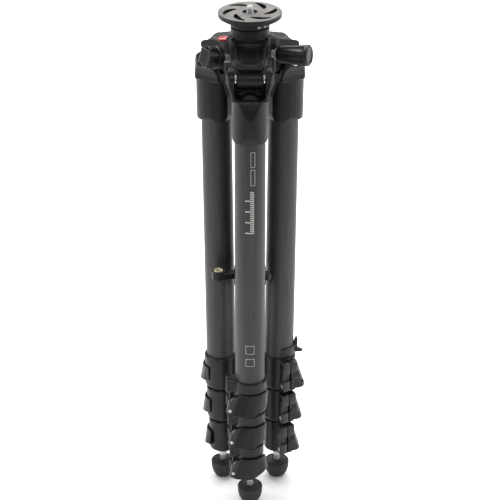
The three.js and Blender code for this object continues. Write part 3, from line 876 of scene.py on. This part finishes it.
def spider_arm():
    """One arm, for the front leg: the barrel and the shoulder with its hollow top."""
    side = filleted(
        [(PIN_RADIUS - 4, -6), (8, -10)] + arc(0, 0, LUG_RADIUS, -60, -250, 28)
        + [(-4.8, 14.5), (-11.5, 15.3), (-12, 20.5), (-10, 23), (-6.3, 25.8), (-1.3, 27.7), (8.7, 29.3)]
        + [(18.7, 32.5), (24.7, 35.5), (30.7, 37), (PIN_RADIUS - 4, 39.5)], 1.5, True,
    )
    plan = filleted(mirrored([(26, 40.7), (22, 24.7), (LUG_HALF, 17.7), (15.5, -12.5)]), 2.5, True)
    arm = shared(slab(side, "yz", -27, 27), slab(plan, "xy", -28, 42))
    arm.transform(move(0, -PIN_RADIUS, PIN_HEIGHT))
    dish = []
    for out, floor, ridge, floor_half, ridge_half in DISH_STATIONS:
        for sign in (1, -1):
            dish.append((sign * floor_half, -out, floor))
            dish.append((sign * ridge_half, -out, ridge))
            dish.append((sign * ridge_half, -out, HEAD_TOP))
    return cut(arm, hull(dish))


def spider_shape():
    """The shoulder casting: a hub with three arms, bored for the column, pins, shafts and cap."""
    hub = turned(filleted([
        (0, 592), (27, 592), (HUB_RADIUS, 596), (HUB_RADIUS, 617), (27.4, 627.5), (25.3, 631.5),
        (23.8, 633.6), (NECK_RADIUS, NECK_BOTTOM), (0, NECK_BOTTOM),
    ], 1.2))
    arm = spider_arm()
    hinge = rod(HINGE_RADIUS + 0.4, -30, 30, move(0, -PIN_RADIUS, PIN_HEIGHT) @ ALONG_X, 0)
    arms = []
    hinges = []
    for degrees in LEG_TURNS:
        for mesh, group in ((arm, arms), (hinge, hinges)):
            copy = mesh.copy()
            copy.transform(turn("Z", degrees))
            group.append(copy)
    bore = rod(COLUMN_RADIUS + BORE_GAP, 580, 660, None, 0, FINE_SIDES)
    seat_radius = CAP_RADIUS + 0.5
    seat = rod(seat_radius, -3, 20, move(*CAP_CENTRE), 0)
    dip = turned([(0, -0.4), (seat_radius, -0.4), (24, 4.5), (0, 30)], 64, move(*CAP_CENTRE))
    dip = cut(dip, rod(NECK_RADIUS + 2.4, 580, 700, None, 0, FINE_SIDES))
    shafts = []
    for place in (CRANK, KNOB):
        shafts.append(rod(SHAFT_RADIUS + 0.4, -30, 3, millimetres(COLUMN.inverted() @ place), 0))
    body = cut(joined(hub, *arms), bore, seat, dip, *hinges, *shafts)
    return ready(cast(body, 0.75, 3), "casting")


def cap_shape():
    """The red cap, with a shallow ring near its edge."""
    profile = filleted([
        (0, -2.7), (CAP_RADIUS, -2.7), (CAP_RADIUS, 0.7), (CAP_RADIUS - 0.9, 1.5), (CAP_RADIUS - 2, 1.5),
        (CAP_RADIUS - 2.4, 1.1), (2, 1.5), (0, 1.6),
    ], 0.5)
    return ready(turned(profile, 64, move(*CAP_CENTRE)), "red")


def leaf_slot():
    """A leaf-shaped slot along a spiral that opens outward."""
    steps = 20

    def spine(t):
        angle = math.radians(-30 + 49 * t)
        radius = 19 + 14 * t
        return Vector((radius * math.cos(angle), radius * math.sin(angle)))

    def edge(side):
        points = []
        for i in range(steps + 1):
            t = i / steps
            along = (spine(t + 0.01) - spine(t - 0.01)).normalized()
            half = side * 3.6 * math.sin(math.pi * (0.1 + 0.8 * t))
            points.append((spine(t).x - along.y * half, spine(t).y + along.x * half))
        return points

    return filleted(edge(1) + edge(-1)[::-1], 0.9, True)


def plate_shape():
    """The head plate: a stepped disc on a short neck, with leaf-shaped slots and a threaded hole."""
    top = HEAD_TOP
    body = turned(filleted([
        (0, 647), (NECK_RADIUS - 0.6, 647), (NECK_RADIUS, 647.6), (NECK_RADIUS, 654.3), (26, 655),
        (PLATE_TIER_RADIUS - 0.6, 655.4), (PLATE_TIER_RADIUS, 656), (PLATE_TIER_RADIUS, 657),
        (PLATE_RADIUS - 0.8, 657.6), (PLATE_RADIUS, 658.6), (PLATE_RADIUS, top - 0.7),
        (PLATE_RADIUS - 0.7, top), (PLATE_RADIUS - 2.6, top), (PLATE_RADIUS - 3.1, top - 0.3),
        (9.3, top - 0.3), (9, top - 0.6), (9, top - 3), (0, top - 3),
    ], 0.4), 128)
    slots = []
    for i in range(PLATE_SLOTS):
        slots.append(slab(leaf_slot(), "xy", top - 4.5, top + 2, 0, turn("Z", 360 * i / PLATE_SLOTS)))
    socket = rod(COLUMN_RADIUS + BORE_GAP, 640, COLUMN_TOP + BORE_GAP, None, 0, FINE_SIDES)
    thread = rod(SCREW_RADIUS + BORE_GAP, 650, top, None, 0)
    return ready(cut(body, socket, thread, *slots), "plate")


def head_screw_shape():
    """A screw with real ridges: rings stand in for the thread's turns."""
    bottom = COLUMN_TOP + 1
    root = SCREW_RADIUS - 0.55
    profile = [(0, bottom)]
    turns = int((SCREW_TOP - bottom - 1) / SCREW_PITCH)
    for i in range(turns):
        z = bottom + i * SCREW_PITCH
        profile += [(root, z + 0.05), (SCREW_RADIUS, z + SCREW_PITCH / 2)]
    end = bottom + turns * SCREW_PITCH + 0.05
    profile += [(root, end), (SCREW_RADIUS - 1, SCREW_TOP), (0, SCREW_TOP)]
    return ready(turned(profile, 40), "steel")


def end_fitting_shape():
    """The fitting on the column's lower end, with one long arm that ends in a threaded boss."""
    barrel = turned(filleted([
        (0, 290), (14, 290), (18, 293), (20, 300), (20, 322), (19, 332), (0, 332),
    ], 1.5))

    def rib(azimuth, tip):
        outline = [(0, -6)] + arc(tip - 6, 0, 6, -90, 90, 16) + [(0, 6)]
        return slab(outline, "xy", 313, 321, 1, turn("Z", azimuth))

    at_insert = turn("Z", END_ARM_AZIMUTH) @ move(END_ARM_REACH, 0, 0)
    boss = rod(END_ARM_RADIUS, 314, 326, at_insert, 0.8, FINE_SIDES)
    socket = rod(COLUMN_RADIUS + BORE_GAP, COLUMN_BOTTOM - BORE_GAP, 340, None, 0, FINE_SIDES)
    seat = rod(INSERT_RADIUS + BORE_GAP, INSERT_BOTTOM - BORE_GAP, 340, at_insert, 0)
    body = joined(barrel, boss, rib(END_ARM_AZIMUTH, END_ARM_REACH), rib(90, 30), rib(330, 30))
    return ready(cast(cut(body, socket, seat), 0.6, 3), "casting")


def insert_shape():
    """The brass ring in the arm's boss, with a lead-in to its hole."""
    profile = filleted([
        (INSERT_HOLE, INSERT_BOTTOM), (INSERT_RADIUS, INSERT_BOTTOM), (INSERT_RADIUS, INSERT_TOP),
        (INSERT_HOLE + 0.8, INSERT_TOP), (INSERT_HOLE, INSERT_TOP - 1),
    ], 0.4, True)
    return ready(turned(profile + profile[:1], 48), "brass")


def column_shape():
    profile = filleted([
        (COLUMN_BORE, COLUMN_BOTTOM), (COLUMN_RADIUS, COLUMN_BOTTOM), (COLUMN_RADIUS, COLUMN_TOP),
        (COLUMN_BORE, COLUMN_TOP),
    ], 0.3, True)
    return ready(turned(profile + profile[:1]), "carbon")


def crank_hub_shape():
    """The crank's drum, with a cheek on each side of the folded handle."""
    drum = turned(filleted([
        (0, 0), (CRANK_RADIUS - 1.5, 0), (CRANK_RADIUS, 1.5), (CRANK_RADIUS, 7), (CRANK_RADIUS - 0.8, 8),
        (0, 8),
    ], 0.6))
    inside = rod(CRANK_RADIUS - 0.8, 0, 20, None, 0.8, FINE_SIDES)
    cheeks = [shared(block(x0, x1, -14, 14, 7, 20), inside) for x0, x1 in ((10, 14), (-14, -10))]
    pin = rod(2, -11, 11, move(0, *FOLD_PIN) @ ALONG_X, 0.3)
    return ready(cast(joined(drum, *cheeks, pin), 0.45, 3), "moulding")


def crank_handle_shape():
    """The handle, folded flat across the hub and rounded off to the hub's outline."""
    outline = arc(*FOLD_PIN, 7, 270, 90, 12) + [(6, 22.5), (12.5, 20.5), (13.5, 15.5), (12.5, 8.5)]
    bar = slab(filleted(outline, 1.6, True), "yz", -9.4, 9.4)
    round_end = rod(CRANK_RADIUS - 0.6, 0, 40, None, 0, FINE_SIDES)
    bore = rod(2 + BORE_GAP, -12, 12, move(0, *FOLD_PIN) @ ALONG_X, 0)
    return ready(cast(cut(shared(bar, round_end), bore), 0.45, 4), "moulding")


def knob_shape():
    """The lock knob, with five flutes and a sunken end face."""
    body = turned(filleted([
        (0, 0), (9, 0), (10.5, 3), (11, 12), (12.2, 30), (KNOB_RADIUS, 38), (KNOB_RADIUS, 39.4),
        (KNOB_RADIUS - 1.5, 41), (0, 41),
    ], 0.8))
    flutes = []
    for i in range(5):
        place = turn("Z", 72 * i + 67) @ move(17, 0, 0)
        flutes.append(rod(6.5, 5, 36, place, 3))
    face = rod(8.2, 40.2, 45, None, 0)
    return ready(cast(cut(body, *flutes, face), 0.55, 4), "moulding")


def shaft_shape(place, rim):
    """A bright shaft from near the column's surface outward, with a washer under the crank or knob."""
    reach = (place.translation - COLUMN.translation).to_2d().length / MM
    body = rod(SHAFT_RADIUS, COLUMN_RADIUS + 2.8 - reach, -0.3, None, 0.3, 48)
    profile = filleted([(4, -1.9), (rim, -1.9), (rim, -0.4), (4, -0.4)], 0.3, True, 3)
    washer = turned(profile + profile[:1], 48)
    return ready(joined(body, washer), "steel")


# ---- Assembly ------------------------------------------------------------------------------------
def build_legs():
    """The three legs, whose pieces share their meshes, and what only one leg has."""
    shapes = {
        "leg_fork": fork_shape(), "hinge_pin": hinge_pin_shape(), "angle_latch": latch_shape(),
        "foot_stud": stud_shape(),
    }
    for section in range(4):
        shapes[f"tube_{section + 1}"] = tube_shape(section)
    for section in range(3):
        shapes[f"lock_{section + 1}"] = collar_shape(section)
        shapes[f"lever_{section + 1}"] = lever_shape(section)
    # The clamp screws take the dark copy of the steel: painted shade for screws that sit in shadow.
    screw_in_painted_shade = screw_shape(3.1, 1.4, STEEL_IN_PAINTED_SHADE)
    screws = {
        "clamp_screw": screw_in_painted_shade,
        "clamp_nut": screw_in_painted_shade,
        "pivot_nut": screw_shape(2.7, 1.2),
        "pivot_bolt": screw_shape(2.2, 1.2),
    }
    for leg in LEGS:
        place = LEG_PLACES[leg]
        for name, mesh in shapes.items():
            at = place @ ALONG_X if name == "hinge_pin" else place
            stand_in(f"{leg}_{name}", mesh, at)
        stand_in(f"{leg}_foot_pad", foot_shape(leg), place)
        for section in range(3):
            for name, spot, towards, node in screw_spots(section):
                at = place @ metres(move(*spot)) @ towards
                body = BODY_OF[f"{leg}_{node}_{section + 1}"]
                piece(f"{leg}_{name}_{section + 1}", screws[name], at, body)
    stand_in("tool_clip", clip_shape(), LEG_PLACES["right"])
    piece("front_scale_marks", scale_marks_shape(), LEG_PLACES["front"], BODY_OF["front_tube_1"])


def screw_spots(section):
    """The screws of one lock: name, place and direction of the head, and the node that holds it."""
    x = -LOCK_RADIUS[section] - SCREW_OUT
    bottom = lock_bottom(section)
    bolt = bolt_spot(section)
    return (
        ("clamp_screw", (x, -10.6, bottom + CLAMP_SCREW_UP), OUTWARD, "lock"),
        ("clamp_nut", (x, 10.1, bottom + CLAMP_SCREW_UP), INWARD, "lock"),
        ("pivot_nut", (x, 10.2, bottom + PIVOT_NUT_UP), INWARD, "lock"),
        ("pivot_bolt", (bolt[0], bolt[1] + 1.6, bolt[2]), OUTWARD, "lever"),
    )


def build_centre():
    stand_in("spider", spider_shape(), COLUMN)
    stand_in("level_cap", cap_shape(), COLUMN)
    stand_in("column_tube", column_shape(), COLUMN)
    stand_in("top_plate", plate_shape(), COLUMN)
    stand_in("head_screw", head_screw_shape(), COLUMN)
    stand_in("column_end_fitting", end_fitting_shape(), COLUMN)
    at_insert = COLUMN @ turn("Z", END_ARM_AZIMUTH) @ metres(move(END_ARM_REACH, 0, 0))
    stand_in("brass_insert", insert_shape(), at_insert)
    neck_screw = screw_shape(1.9, 1.6)
    for i, azimuth in enumerate((298, 320)):
        at = COLUMN @ turn("Z", azimuth) @ metres(move(NECK_RADIUS + 0.1, 0, 651)) @ ALONG_X
        piece(f"neck_screw_{i + 1}", neck_screw, at, BODY_OF["top_plate"])
    stand_in("crank_shaft", shaft_shape(CRANK, 8), CRANK)
    stand_in("crank_hub", crank_hub_shape(), CRANK)
    stand_in("crank_handle", crank_handle_shape(), CRANK)
    stand_in("lock_stud", shaft_shape(KNOB, 7.5), KNOB)
    stand_in("lock_knob", knob_shape(), KNOB)


# ---- Floor, lights and camera --------------------------------------------------------------------
# Metres and degrees, and millimetres for the lens and its sensor.
CAMERA_BACK = 2.132
CAMERA_HEIGHT = 1.3965
CAMERA_PITCH = 26.2
LENS = 135.36
SENSOR_WIDTH = 36
FLOOR_SIZE = 14
WORLD_STRENGTH = 0.18


def build_floor():
    """A pale floor, which is staging and not part of the object."""
    bpy.ops.mesh.primitive_plane_add(size=FLOOR_SIZE, location=(0, 0, 0))
    floor = bpy.context.object
    floor.name = "floor"
    look = Finish("pale_floor", Roughness=0.7)
    cloud = look.noise(3, 2)
    look.color(look.tones(cloud, (0.2, (0.9, 0.9, 0.9)), (0.8, (0.93, 0.93, 0.93))))
    floor.data.materials.append(look.material)


def area_light(name, offset, aim, size, watts):
    """A rectangular light, placed from the foot of the column and aimed at a point."""
    light = bpy.data.lights.new(name, "AREA")
    light.shape = "RECTANGLE"
    light.size, light.size_y = size
    light.energy = watts
    lamp = bpy.data.objects.new(name, light)
    bpy.context.scene.collection.objects.link(lamp)
    lamp.location = COLUMN.translation + Vector(offset)
    lamp.rotation_euler = (aim - lamp.location).to_track_quat("-Z", "Y").to_euler()


def build_lights():
    """A white world and four softboxes: two at the sides, one overhead behind, a small one in front."""
    world = bpy.data.worlds.new("soft_studio")
    world.use_nodes = True
    background = world.node_tree.nodes["Background"]
    background.inputs["Color"].default_value = (1, 1, 1, 1)
    background.inputs["Strength"].default_value = WORLD_STRENGTH
    bpy.context.scene.world = world
    bpy.context.scene.view_settings.view_transform = "Standard"
    aim = COLUMN.translation + Vector((0, 0, 0.35))
    below = COLUMN.translation + Vector((0, 1.6, 0))
    area_light("softbox_left", (-1.9, -0.5, 0.9), aim, (0.8, 1.8), 12)
    area_light("softbox_right", (1.9, -0.5, 0.9), aim, (0.8, 1.8), 12)
    area_light("softbox_high", (0, 1.6, 2.4), below, (5.0, 3.4), 250)
    area_light("softbox_front", (0, -2.2, 1.75), aim, (0.5, 0.35), 9)


def build_camera():
    """A long lens in front of the tripod, looking down at it."""
    data = bpy.data.cameras.new("camera")
    data.sensor_width = SENSOR_WIDTH
    data.lens = LENS
    camera = bpy.data.objects.new("camera", data)
    bpy.context.scene.collection.objects.link(camera)
    centre = COLUMN.translation
    camera.location = (centre.x, centre.y - CAMERA_BACK, CAMERA_HEIGHT)
    camera.rotation_euler = (math.radians(90 - CAMERA_PITCH), 0, 0)
    bpy.context.scene.camera = camera


build_legs()
build_centre()
build_floor()
build_lights()
build_camera()

bpy.context.view_layer.update()
